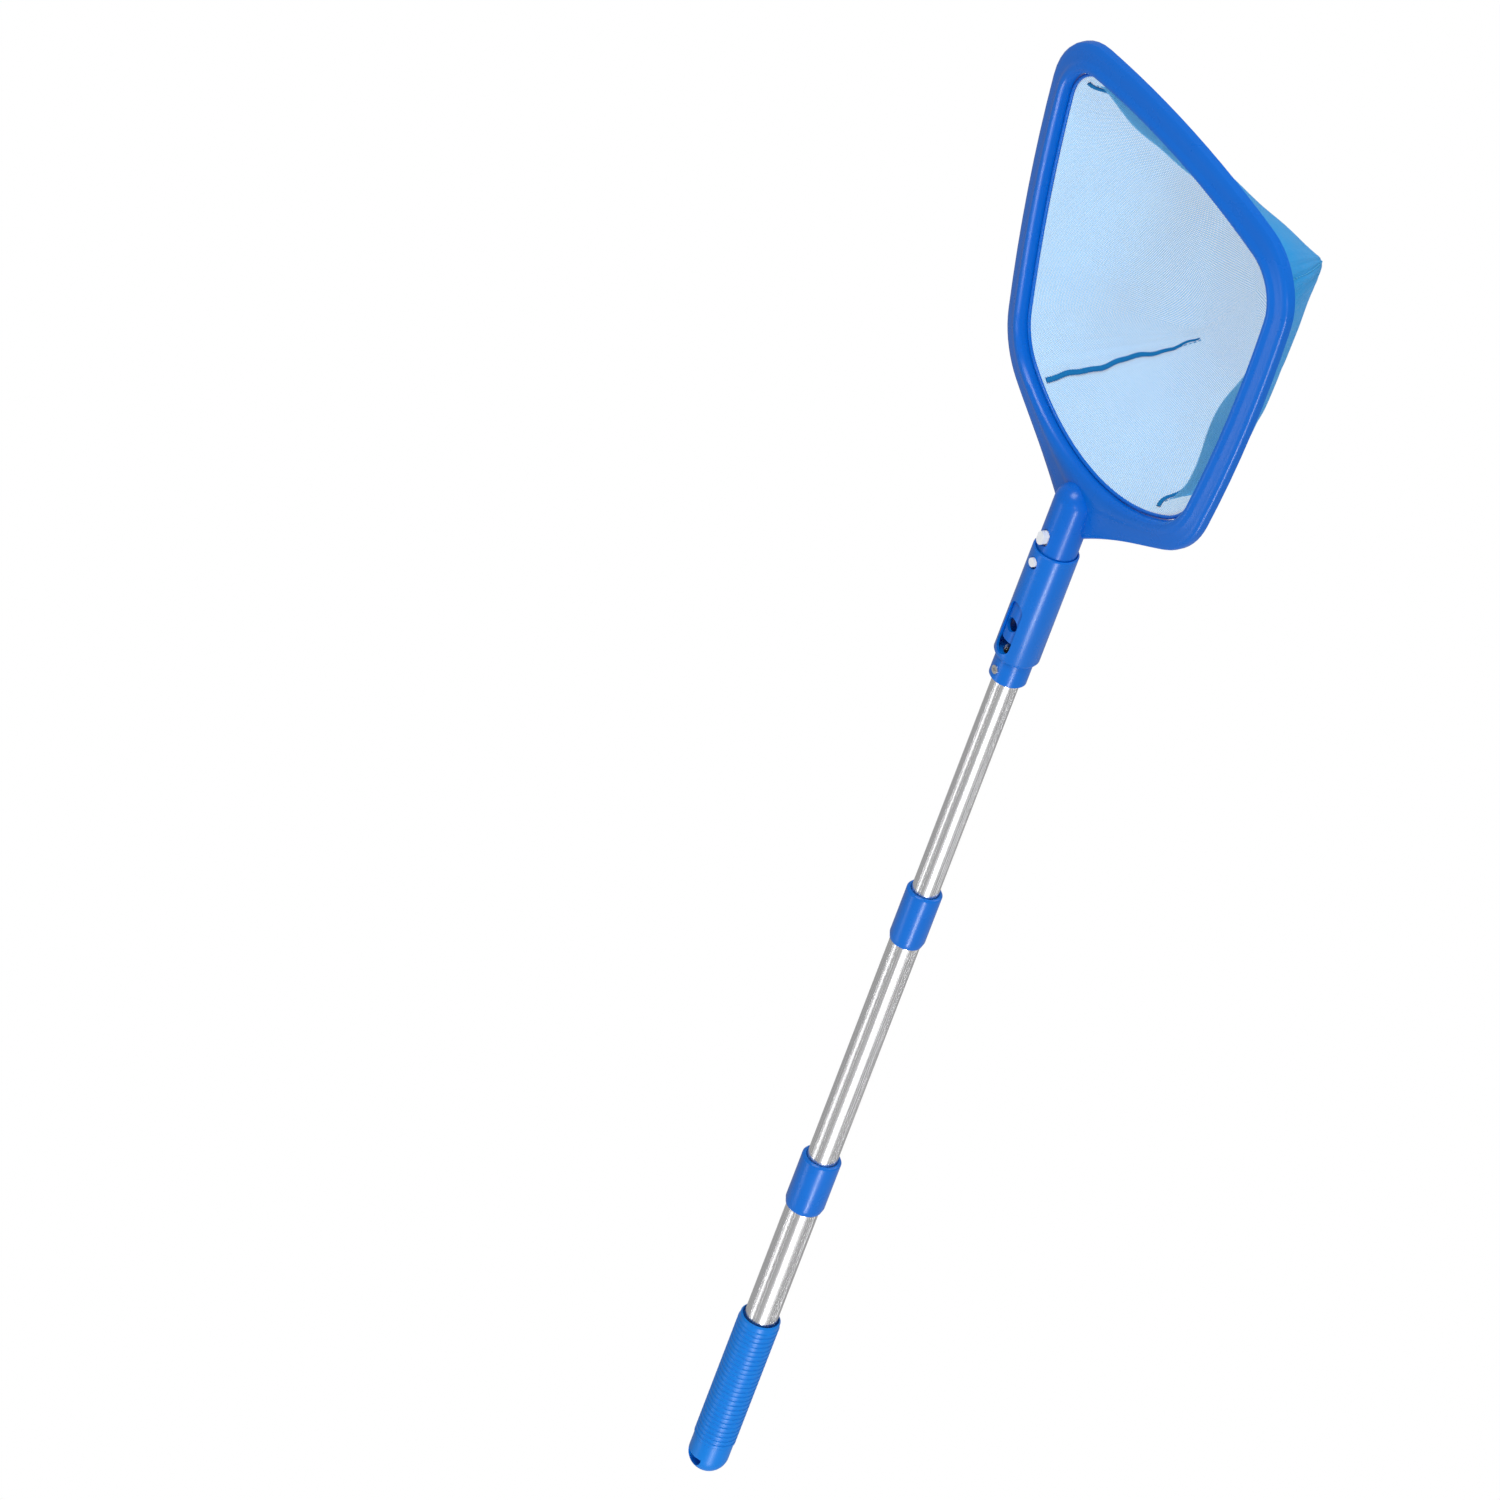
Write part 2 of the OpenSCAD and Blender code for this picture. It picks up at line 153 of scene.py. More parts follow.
def bump_from(tree, height, distance, strength, shader):
    bump = add(tree, "ShaderNodeBump", Distance=distance, Strength=strength)
    tree.links.new(height, bump.inputs["Height"])
    tree.links.new(bump.outputs[0], shader.inputs["Normal"])


print("helpers ready")


# %% [markdown]
# ## Moulded plastic
# Polypropylene leaves the mould with a faint satin grain and a barely visible mottle. Two noises
# do both: a coarse one shifts the colour and the roughness a little, a fine one is the height of
# the grain. The shader itself stays in each material, and takes only these values from the group.

# %% The mould grain group
MOTTLE_SCALE = 38.0
MOTTLE_FROM = 0.45  # noise below this leaves the plain colour
MOTTLE_SHARE = 0.5
MOTTLE_ROUGHENS = 0.5
GRAIN_SCALE = 1600.0
GRAIN_HEIGHT = 0.00004
GRAIN_STRENGTH = 0.12
SURFACE_OUTPUTS = [
    ("Colour", "NodeSocketColor"),
    ("Roughness", "NodeSocketFloat"),
    ("Height", "NodeSocketFloat"),
]


def make_mould_group():
    tree, inp, out = new_group(
        "mould_grain",
        [
            ("Colour", "NodeSocketColor", (0.0, 0.1, 0.6, 1)),
            ("Worn Colour", "NodeSocketColor", (0.1, 0.3, 0.8, 1)),
            ("Roughness", "NodeSocketFloat", 0.25),
        ],
        SURFACE_OUTPUTS,
    )
    place = add(tree, "ShaderNodeTexCoord").outputs["Object"]
    mottle = add(tree, "ShaderNodeTexNoise", Scale=MOTTLE_SCALE, Detail=4.0, Roughness=0.6)
    grain = add(tree, "ShaderNodeTexNoise", Scale=GRAIN_SCALE, Detail=2.0, Roughness=0.5)
    tree.links.new(place, mottle.inputs["Vector"])
    tree.links.new(place, grain.inputs["Vector"])
    above = calc(tree, "SUBTRACT", mottle.outputs[0], MOTTLE_FROM, True)
    spread = calc(tree, "MULTIPLY", above, MOTTLE_SHARE)
    colour = blend_colours(tree, spread, inp.outputs["Colour"], inp.outputs["Worn Colour"])
    rougher = calc(tree, "MULTIPLY", spread, MOTTLE_ROUGHENS)
    rough = calc(tree, "ADD", inp.outputs["Roughness"], rougher)
    tree.links.new(colour, out.inputs["Colour"])
    tree.links.new(rough, out.inputs["Roughness"])
    tree.links.new(grain.outputs[0], out.inputs["Height"])
    return tree


MOULD = make_mould_group()
print("group", MOULD.name)


# %% [markdown]
# ## The plastics
# The frame, the grip and the collars are mouldings of their own, and their blues differ a little.
# The mottle blends each with a lighter blue of its own. The catch is a bluish white, and the cam
# rings and plugs, out of sight inside the tubes, are a duller white. One blue for all would be
# quicker, but then the whole object would look like one moulding.

# %% Materials of moulded plastic
def plastic(name, colour, worn, roughness, gloss):
    mat, tree, shader = start_material(name)
    values = {"Colour": colour, "Worn Colour": worn, "Roughness": roughness}
    group = place_group(tree, MOULD, values)
    tree.links.new(group.outputs["Colour"], shader.inputs["Base Color"])
    tree.links.new(group.outputs["Roughness"], shader.inputs["Roughness"])
    shader.inputs["Specular IOR Level"].default_value = gloss
    bump_from(tree, group.outputs["Height"], GRAIN_HEIGHT, GRAIN_STRENGTH, shader)
    return mat


FRAME_BLUE = plastic("frame_blue", (0.0, 0.135, 0.62), (0.0, 0.17, 0.70), 0.27, 0.32)
GRIP_BLUE = plastic("grip_blue", (0.0, 0.20, 0.72), (0.0, 0.25, 0.80), 0.34, 0.34)
COLLAR_BLUE = plastic("collar_blue", (0.0, 0.155, 0.66), (0.0, 0.19, 0.74), 0.26, 0.38)
CATCH_WHITE = plastic("catch_white", (0.86, 0.89, 0.94), (0.94, 0.96, 0.98), 0.3, 0.4)
CAM_WHITE = plastic("cam_white", (0.72, 0.73, 0.72), (0.82, 0.82, 0.80), 0.4, 0.16)
print("plastics", FRAME_BLUE.name, GRIP_BLUE.name, COLLAR_BLUE.name)
print("whites", CATCH_WHITE.name, CAM_WHITE.name)


# %% [markdown]
# ## Worked metal
# The tubes are drawn through a die, which leaves hairline streaks along them and none across.
# Stretching a noise along Z gives just that: its scale is high across the tube and almost zero
# along it. The flutes themselves are geometry in the CAD, so only the sheen is made here. The
# screw, the rivet and the cam pins are zinc-plated steel, which is speckled the same every way, so
# they take the same group with one scale for all three directions.

# %% The streaks group and the two metals
STREAK_DARK = 0.80  # the darkest streak, as a share of the metal's colour
STREAK_ROUGHENS = 0.16
STREAK_HEIGHT = 0.00006
STREAK_STRENGTH = 0.3


def make_streaks_group():
    tree, inp, out = new_group(
        "worked_metal",
        [
            ("Colour", "NodeSocketColor", (0.9, 0.9, 0.9, 1)),
            ("Dark Colour", "NodeSocketColor", (0.7, 0.7, 0.7, 1)),
            ("Roughness", "NodeSocketFloat", 0.2),
            ("Stretch", "NodeSocketVector", (900.0, 900.0, 900.0)),
        ],
        SURFACE_OUTPUTS,
    )
    place = add(tree, "ShaderNodeTexCoord").outputs["Object"]
    stretch = add(tree, "ShaderNodeMapping")
    streaks = add(tree, "ShaderNodeTexNoise", Scale=1.0, Detail=3.0, Roughness=0.7)
    tree.links.new(inp.outputs["Stretch"], stretch.inputs["Scale"])
    tree.links.new(place, stretch.inputs["Vector"])
    tree.links.new(stretch.outputs[0], streaks.inputs["Vector"])
    light, dark = inp.outputs["Colour"], inp.outputs["Dark Colour"]
    rougher = calc(tree, "MULTIPLY", streaks.outputs[0], STREAK_ROUGHENS)
    rough = calc(tree, "ADD", rougher, inp.outputs["Roughness"])
    tint = blend_colours(tree, streaks.outputs[0], dark, light)
    tree.links.new(tint, out.inputs["Colour"])
    tree.links.new(rough, out.inputs["Roughness"])
    tree.links.new(streaks.outputs[0], out.inputs["Height"])
    return tree


STREAKS = make_streaks_group()


def worked_metal(name, colour, roughness, stretch):
    """roughness is the smoothest streak's."""
    mat, tree, shader = start_material(name)
    dark = tuple(v * STREAK_DARK for v in colour)
    values = {"Colour": colour, "Dark Colour": dark, "Roughness": roughness, "Stretch": stretch}
    group = place_group(tree, STREAKS, values)
    tree.links.new(group.outputs["Colour"], shader.inputs["Base Color"])
    tree.links.new(group.outputs["Roughness"], shader.inputs["Roughness"])
    shader.inputs["Metallic"].default_value = 1.0
    bump_from(tree, group.outputs["Height"], STREAK_HEIGHT, STREAK_STRENGTH, shader)
    return mat


ALUMINIUM = worked_metal("drawn_aluminium", (0.93, 0.93, 0.94), 0.19, (1400.0, 1400.0, 6.0))
STEEL = worked_metal("zinc_steel", (0.78, 0.79, 0.80), 0.24, (900.0, 900.0, 900.0))
print("metals", ALUMINIUM.name, STEEL.name)


# %% [markdown]
# ## Finishes of the CAD parts
# A material is given by assigning it to a part's own slots, which leaves the mesh alone. A table
# of part and finish is used here and not a line for each part, because the two locks and the
# three tubes repeat, and because the print at the end then shows if a part was left out.

# %% Give every CAD part its material
FINISHES = {
    "grip": GRIP_BLUE,
    "lower_collar": COLLAR_BLUE,
    "upper_collar": COLLAR_BLUE,
    "head_socket": COLLAR_BLUE,
    "head_frame": FRAME_BLUE,
    "net_piping": FRAME_BLUE,
    "front_catch": CATCH_WHITE,
    "rear_catch": CATCH_WHITE,
    "clip_bow": CATCH_WHITE,
    "socket_screw": STEEL,
    "socket_rivet": STEEL,
}
for tube in ("lower_tube", "middle_tube", "upper_tube"):
    FINISHES[tube] = ALUMINIUM
for joint in ("lower", "upper"):
    FINISHES[joint + "_cam_ring"] = CAM_WHITE
    FINISHES[joint + "_cam_plug"] = CAM_WHITE
    FINISHES[joint + "_cam_pin"] = STEEL


def paint(obj, mat):
    obj.data.materials.clear()
    obj.data.materials.append(mat)


for part, mat in FINISHES.items():
    paint(NODES[part], mat)
print("painted", len(FINISHES), "CAD parts, to be replaced", sorted(set(NODES) - set(FINISHES)))


# %% [markdown]
# ## The knitted net
# The bag is one piece of warp-knitted polyester, gathered into a pocket by a dart at each of its
# four corners. It is too fine to model thread by thread, so the cloth is a thin sheet and the knit
# is an open pattern in its material. The sheet starts from the same outline as the CAD bag, then
# takes the slack, folds and sag that a hard solid cannot have.

# %% The mouth's outline, as the frame's maker draws it: five arcs, in mm, in the upright head
MM = 0.001
FAR = (80, 948)  # middle of the far corner's arc
FAR_R = 27
SHOULDER = (48, 811)  # middle of the shoulder's arc
SHOULDER_R = 43
MOUTH_TOP = 981
MOUTH_LOW = 753
SIDE_R = 900
ARC_STEPS = (6, 10, 8, 9, 14)  # crown, far corner, side, shoulder, base
FAR_DART = 11  # the outline's coarse points where the right side's two darts start
NEAR_DART = 35
FINE = 8  # how many times finer the outline is drawn before its points are evened out
NET_INSET = 2.3
AROUND = 320


def arc(centre, r, start, end, n):
    turns = np.radians(start + (end - start) * np.arange(n) / n)
    return np.column_stack([centre[0] + r * np.cos(turns), centre[1] + r * np.sin(turns)])


def crown_radius(x, drop, r):
    """Radius of the arc that is level on the middle line and touches a corner's arc of radius r."""
    return (x * x + drop * drop - r * r) / (2 * (drop - r))


def side_centre(p, rp, q, rq):
    """Middle of the long arc that touches both corners' arcs."""
    p, q = np.array(p, float), np.array(q, float)
    d = np.linalg.norm(q - p)
    e = (q - p) / d
    a, b = (SIDE_R - rp) ** 2, (SIDE_R - rq) ** 2
    t = (a - b + d * d) / (2 * d)
    return p + t * e + math.sqrt(a - t * t) * np.array([e[1], -e[0]])


def bearing(z, x):
    return math.degrees(math.atan2(z, x))


def mouth_outline(inset, fine):
    """The mouth, set in by inset: right half from the far middle down, then its mirror image."""
    rp, rq = FAR_R - inset, SHOULDER_R - inset
    top, low = MOUTH_TOP - inset, MOUTH_LOW + inset
    crown_r = crown_radius(FAR[0], top - FAR[1], rp)
    base_r = crown_radius(SHOULDER[0], SHOULDER[1] - low, rq)
    crown, base = (0, top - crown_r), (0, low + base_r)
    side = side_centre(FAR, rp, SHOULDER, rq)
    a1 = bearing(FAR[1] - crown[1], FAR[0])
    a2 = bearing(FAR[1] - side[1], FAR[0] - side[0])
    a3 = bearing(SHOULDER[1] - side[1], SHOULDER[0] - side[0])
    a4 = bearing(SHOULDER[1] - base[1], SHOULDER[0])
    half = np.vstack([
        arc(crown, crown_r, 90, a1, ARC_STEPS[0] * fine),
        arc(FAR, rp, a1, a2, ARC_STEPS[1] * fine),
        arc(side, SIDE_R, a2, a3, ARC_STEPS[2] * fine),
        arc(SHOULDER, rq, a3, a4, ARC_STEPS[3] * fine),
        arc(base, base_r, a4, -90, ARC_STEPS[4] * fine),
        [[0, low]],
    ])
    return np.vstack([half, half[-2:0:-1] * (-1, 1)])


def even_outline(inset, count):
    """The same outline with its points at even steps along it."""
    points = mouth_outline(inset, FINE)
    closed = np.vstack([points, points[:1]])
    run = np.concatenate([[0], np.cumsum(np.linalg.norm(np.diff(closed, axis=0), axis=1))])
    at = np.arange(count) / count * run[-1]
    return np.column_stack([np.interp(at, run, closed[:, k]) for k in (0, 1)]), run[-1]


MOUTH, mouth_run = even_outline(NET_INSET, AROUND)
print("mouth line", round(mouth_run, 1), "mm round")


# %% [markdown]
# ## The bag's bottom
# The darts turn the mouth's soft outline into a flat bottom with four corners. Each point of the
# mouth is sent to its place on the bottom's edge: its height gives the height, and its share of
# the way out gives the side. The far left corner is let down, because the cloth hangs lower
# there. A scaled copy of the mouth would be simpler, but then the bag has no corners.

# %% Where the mouth line lands on the four-cornered bottom
BOTTOM_FAR = (42, 931)
BOTTOM_NEAR = (30, 822)
FAR_CENTRE_Z = 952  # heights between which the bottom narrows
SHOULDER_CENTRE_Z = 806
CENTRE = np.array([0, (BOTTOM_FAR[1] + BOTTOM_NEAR[1]) / 2])
CORNER_ROUND = 0.055  # how much of the mouth's roundness the bottom keeps
CORNER_GATHER = 1.25  # above 1, points past a dart gather in its corner
FAR_SKEW = 26
FAR_REACH = FAR[0] + FAR_R - NET_INSET
NEAR_REACH = SHOULDER[0] + SHOULDER_R - NET_INSET


def bottom_point(p):
    t = min(1, max(0, (p[1] - SHOULDER_CENTRE_Z) / (FAR_CENTRE_Z - SHOULDER_CENTRE_Z)))
    z = BOTTOM_NEAR[1] + (BOTTOM_FAR[1] - BOTTOM_NEAR[1]) * t
    w = BOTTOM_NEAR[0] + (BOTTOM_FAR[0] - BOTTOM_NEAR[0]) * t
    reach = NEAR_REACH + (FAR_REACH - NEAR_REACH) * t
    share = min(1, max(-1, p[0] / reach * CORNER_GATHER))
    q = np.array([w * share, z - FAR_SKEW * t * (1 - share) / 2])
    return CENTRE + (q - CENTRE) * (1 - CORNER_ROUND) + (p - CENTRE) * CORNER_ROUND


BOTTOM = np.array([bottom_point(p) for p in MOUTH])
COARSE = mouth_outline(NET_INSET, 1)
CORNER_PLACES = {"far_right": COARSE[FAR_DART], "near_right": COARSE[NEAR_DART]}
for label in ("far", "near"):
    CORNER_PLACES[label + "_left"] = CORNER_PLACES[label + "_right"] * (-1, 1)
CORNERS = {
    label: int(np.argmin(np.linalg.norm(MOUTH - place, axis=1)))
    for label, place in CORNER_PLACES.items()
}
print("corners at", CORNERS)


# %% [markdown]
# ## Slack, ripples and sag
# Cloth never hangs as a cone. Just inside the mouth it has slack that falls inward in a lip, most
# on the two sides where the bag was pushed in, so that the wall behind shows through two layers.
# Beside each dart the gathered cloth ripples, and the bottom sags a little. A cloth simulation
# could find these shapes, but where it puts a fold can't be chosen. Here each is a small height
# added to the smooth pocket, so that each can be judged and changed by itself.

# %% Slack, ripples and sag of the cloth, in mm
SIDE_ROWS = 52
BOTTOM_ROWS = 16
NET_START = 3.9
NET_DEPTH = 77.2
LIP_SHARE = 0.055
SLACKS = [  # middle of the slack round the mouth, its half width, how far it falls inward
    ("far edge", (-64, 979), 34, 13.0),
    ("far edge's middle", (-10, 981), 36, 9.0),
    ("right side", (98, 850), 50, 17.0),
    ("right shoulder", (80, 790), 28, 9.0),
    ("left side", (-100, 900), 40, 2.0),
]
SWAY = 8
SWAY_CURVE = 1.5
RIPPLE = 0.55
RIPPLE_REACH = 24
RIPPLE_TURN = 0.75  # radians of ripple for each mm round the mouth
RIPPLE_END = 1.1
RIPPLE_CURVE = 0.7
SOFT_HEIGHT = 2.6  # slow waves over the whole side
SOFT_SCALE = 0.03
SOFT_DOWN = 2.4
SIDE_CURVE = 1.2  # above 1, the side leaves the mouth more steeply than it reaches the bottom
BELLY = 0.1
SAG = 1.6
SAG_SHARE = 0.3
WAVE_HEIGHT = 1.1  # slow waves in the bottom
WAVE_SCALE = 0.035
WAVE_SLICE = 7.0
FLOOR_LIFT = 0.4


def run_between(i, j):
    """Distance along the mouth between two of its points, in mm."""
    steps = abs(i - j)
    return min(steps, AROUND - steps) * mouth_run / AROUND


def slack_at(i):
    total = 0
    for _, place, half, depth in SLACKS:
        middle = int(np.argmin(np.linalg.norm(MOUTH - place, axis=1)))
        total += depth * math.exp(-((run_between(i, middle) / half) ** 2))
    return total


SLACK = np.array([slack_at(i) for i in range(AROUND)])


def ripple_at(i, s):
    """Folds beside the darts: they start at the mouth and fade towards the bottom."""
    total = 0
    for place in CORNERS.values():
        away = run_between(i, place)
        total += math.cos(away * RIPPLE_TURN) * math.exp(-((away / RIPPLE_REACH) ** 2))
    return total * RIPPLE * math.sin(math.pi * min(1, s * RIPPLE_END)) ** RIPPLE_CURVE


def cloth_point(i, s):
    """A point of the bag: i round the mouth, s from 0 at the mouth to 1 at the bottom's edge."""
    p, q = MOUTH[i], BOTTOM[i]
    inward = (q - p) / np.linalg.norm(q - p)
    lip = SLACK[i] * (s / LIP_SHARE) * math.exp(1 - s / LIP_SHARE)
    wave = noise.noise(Vector((p[0] * SOFT_SCALE, p[1] * SOFT_SCALE, s * SOFT_DOWN)))
    soft = wave * SOFT_HEIGHT * math.sin(math.pi * s)
    flat = p + (s ** SIDE_CURVE) * (q - p) + inward * (lip + soft + ripple_at(i, s))
    belly = s + BELLY * math.sin(math.pi * s)
    depth = NET_START + (NET_DEPTH - NET_START) * belly
    return np.array([flat[0] + SWAY * s ** SWAY_CURVE, depth, flat[1]])


def floor_point(i, g):
    """A point of the bag's bottom: g from 1 at its edge to 0 in its middle."""
    edge = cloth_point(i, 1.0)
    middle = CENTRE + (SWAY, 0)
    flat = middle + (edge[[0, 2]] - middle) * g
    sag = SAG * (1 - g * g) * SAG_SHARE
    place = Vector((flat[0] * WAVE_SCALE, flat[1] * WAVE_SCALE, WAVE_SLICE))
    wave = noise.noise(place) * WAVE_HEIGHT * (1 - g ** 3)
    return np.array([flat[0], edge[1] + sag + wave - FLOOR_LIFT, flat[1]])


print("slack from", round(SLACK.min(), 2), "to", round(SLACK.max(), 2), "mm")


# %% [markdown]
# ## From the upright head to its place
# The head leans forward on its stub, so the bag is shaped in an upright head, where the mouth lies
# in one plane, and is then leaned with it. Shaping it in its leaned place would put the lean's
# sine and cosine into every formula above.

# %% Lean the cloth and smooth its lower rows
LEAN = math.radians(5.3)
LEAN_Z = 745
LEAN_Y = 1.5
ROW_CURVE = 1.35  # above 1, rows lie closer together at the mouth, where the lip needs them
SMOOTH_ROUNDS = 14
FIRM_ROWS = 24


def lean(points):
    """From the upright head in mm to the object's own frame in metres."""
    p = np.asarray(points, float)
    c, s = math.cos(LEAN), math.sin(LEAN)
    up = p[..., 2] - LEAN_Z
    y = LEAN_Y + p[..., 1] * c - up * s
    z = LEAN_Z + up * c + p[..., 1] * s
    return np.stack([p[..., 0], y, z], axis=-1) * MM


SHARES = (np.arange(SIDE_ROWS + 1) / SIDE_ROWS) ** ROW_CURVE
FLOOR_SHARES = [1 - k / BOTTOM_ROWS for k in range(1, BOTTOM_ROWS)]
rows = [[cloth_point(i, s) for i in range(AROUND)] for s in SHARES]
rows += [[floor_point(i, g) for i in range(AROUND)] for g in FLOOR_SHARES]
upright = np.array(rows)
for _ in range(SMOOTH_ROUNDS):
    between = (upright[FIRM_ROWS - 1:-2] + upright[FIRM_ROWS + 1:]) / 2
    upright[FIRM_ROWS:-1] += (between - upright[FIRM_ROWS:-1]) * 0.5
CLOTH = lean(upright)
hub = lean(floor_point(0, 0))
print("cloth rows", CLOTH.shape)


def sewn_point(i, s):
    """A point of the finished cloth, by the same two numbers as cloth_point."""
    return np.array([np.interp(s, SHARES, upright[:SIDE_ROWS + 1, i, k]) for k in range(3)])


# %% [markdown]
# ## The flat cut
# The knit has to run evenly over the whole bag, so the sheet gets a map that is its flat cut: each
# point keeps its real distance from the middle of the bottom and its bearing from there. The darts
# take in what this map has more of than the bag.

# %% The flat cut and its map
to_hub = np.concatenate([CLOTH, np.broadcast_to(hub, (1, AROUND, 3))])
steps_in = np.linalg.norm(np.diff(to_hub, axis=0), axis=2)
reach = np.flip(np.cumsum(np.flip(steps_in, 0), axis=0), 0)
bearings = np.arctan2(MOUTH[:, 1] - CENTRE[1], MOUTH[:, 0])
flat_map = np.stack([reach * np.cos(bearings), reach * np.sin(bearings)], axis=2)


# %% Build the sheet
def sheet_mesh(name, grid, tip, flat, flat_tip):
    count_rows, count = grid.shape[:2]
    points = [tuple(p) for row in grid for p in row] + [tuple(tip)]
    uvs = [tuple(p) for row in flat for p in row] + [flat_tip]
    faces = []
    for r in range(count_rows - 1):
        for i in range(count):
            j = (i + 1) % count
            faces.append((r * count + i, (r + 1) * count + i, (r + 1) * count + j, r * count + j))
    last = (count_rows - 1) * count
    faces += [(last + i, len(points) - 1, last + (i + 1) % count) for i in range(count)]
    mesh = bpy.data.meshes.new(name)
    mesh.from_pydata(points, [], faces)
    layer = mesh.uv_layers.new(name="cut")
    for loop in mesh.loops:
        layer.data[loop.index].uv = uvs[loop.vertex_index]
    mesh.shade_smooth()
    obj = bpy.data.objects.new(name, mesh)
    bpy.context.scene.collection.objects.link(obj)
    return obj


def apply_modifier(obj, name):
    deselect()
    obj.select_set(True)
    bpy.context.view_layer.objects.active = obj
    bpy.ops.object.modifier_apply(modifier=name)


net = sheet_mesh("net_cloth", CLOTH, hub, flat_map, (0.0, 0.0))
if net.data.polygons[-1].normal.y > 0:
    net.data.flip_normals()
print("the bottom faces the mouth:", net.data.polygons[-1].normal.y < 0)


# %% [markdown]
# ## The knit
# Warp-knitted mesh is rows of loops with a hole between them, each row set over by half a stitch.
# The group below draws that from the flat cut's map: threads where the pattern is near a row or a
# column line, holes between. The mask drives the sheet's alpha, so light passes the holes.

# %% The knit group
KNIT_PITCH = 0.0010
KNIT_THREAD = 0.42
KNIT_EDGE = 6.0  # how sharply a thread ends at a hole
CLOUD_SCALE = 26.0


def make_knit_group():
    tree, inp, out = new_group(
        "warp_knit",
        [("Pitch", "NodeSocketFloat", KNIT_PITCH), ("Thread", "NodeSocketFloat", KNIT_THREAD)],
        [(label, "NodeSocketFloat") for label in ("Mask", "Height", "Cloudy")],
    )
    cut_map = tree.nodes.new("ShaderNodeUVMap")
    cut_map.uv_map = "cut"
    place = tree.nodes.new("ShaderNodeSeparateXYZ")
    tree.links.new(cut_map.outputs[0], place.inputs[0])
    pitch = inp.outputs["Pitch"]
    v = calc(tree, "DIVIDE", place.outputs[1], pitch)
    odd_row = calc(tree, "FLOORED_MODULO", calc(tree, "FLOOR", v), 2.0)
    shift = calc(tree, "MULTIPLY", odd_row, 0.5)
    u = calc(tree, "ADD", calc(tree, "DIVIDE", place.outputs[0], pitch), shift)
    column = calc(tree, "ABSOLUTE", calc(tree, "SINE", calc(tree, "MULTIPLY", u, math.pi)))
    row = calc(tree, "ABSOLUTE", calc(tree, "SINE", calc(tree, "MULTIPLY", v, math.pi)))
    hole = calc(tree, "MULTIPLY", column, row)
    over = calc(tree, "SUBTRACT", hole, inp.outputs["Thread"])
    open_share = calc(tree, "MULTIPLY", over, KNIT_EDGE, True)
    mask = calc(tree, "SUBTRACT", 1.0, open_share, True)
    clouds = add(tree, "ShaderNodeTexNoise", Scale=CLOUD_SCALE, Detail=5.0, Roughness=0.65)
    tree.links.new(cut_map.outputs[0], clouds.inputs["Vector"])
    tree.links.new(mask, out.inputs["Mask"])
    tree.links.new(calc(tree, "SUBTRACT", 1.0, hole), out.inputs["Height"])
    tree.links.new(clouds.outputs[0], out.inputs["Cloudy"])
    return tree


KNIT = make_knit_group()
print("group", KNIT.name)


# %% [markdown]
# ## The two sides of the cloth
# Looked at straight on, as through the mouth, the net is pale and half clear. Looked at from
# outside, where its walls are seen edge-on and doubled, it is a deep even blue. One material with
# a mask for the view's angle would do both, but it would slide as the view moves. So the sheet
# gets a thickness of its own, and each face its own finish of the same knit. These are a lit and a
# shaded copy of one cloth. The inside face's blues are painted lighter than the thread, a painted
# light. The outside face's deep blue is partly the thread's own colour and the doubled cloth, and
# partly painted shade. A face seen from behind is made fainter, or the far face would show through
# the near one.

# %% The two finishes and the cloth's thickness
CLOTH_THICK = 0.0004
CLOTH_ROUGHNESS = 0.62
CLOTH_GLOSS = 0.15
CLOTH_SHEEN = 0.1
KNIT_HEIGHT = 0.0002
KNIT_STRENGTH = 0.5


def net_material(name, thread, pale, cover, gap, back_cover):
    """cover is how solid a thread is, gap how solid a hole is, back_cover both seen from behind."""
    mat, tree, shader = start_material(name)
    knit = place_group(tree, KNIT, {"Pitch": KNIT_PITCH, "Thread": KNIT_THREAD})
    tint = blend_colours(tree, knit.outputs["Cloudy"], (*thread, 1), (*pale, 1))
    tree.links.new(tint, shader.inputs["Base Color"])
    threads = calc(tree, "MULTIPLY", knit.outputs["Mask"], cover - gap)
    body = calc(tree, "ADD", threads, gap)
    behind = tree.nodes.new("ShaderNodeNewGeometry").outputs["Backfacing"]
    lost = calc(tree, "MULTIPLY", behind, 1.0 - back_cover)
    fade = calc(tree, "SUBTRACT", 1.0, lost)
    tree.links.new(calc(tree, "MULTIPLY", body, fade, True), shader.inputs["Alpha"])
    shader.inputs["Roughness"].default_value = CLOTH_ROUGHNESS
    shader.inputs["Specular IOR Level"].default_value = CLOTH_GLOSS
    shader.inputs["Sheen Weight"].default_value = CLOTH_SHEEN
    bump_from(tree, knit.outputs["Height"], KNIT_HEIGHT, KNIT_STRENGTH, shader)
    return mat


# The inside finish: a lighter copy of the knit's blue, painted light.
NET_INSIDE_PAINTED_LIGHT = net_material(
    "net_inside_painted_light", thread=(0.10, 0.50, 0.92), pale=(0.22, 0.62, 0.97),
    cover=0.80, gap=0.16, back_cover=0.5,
)
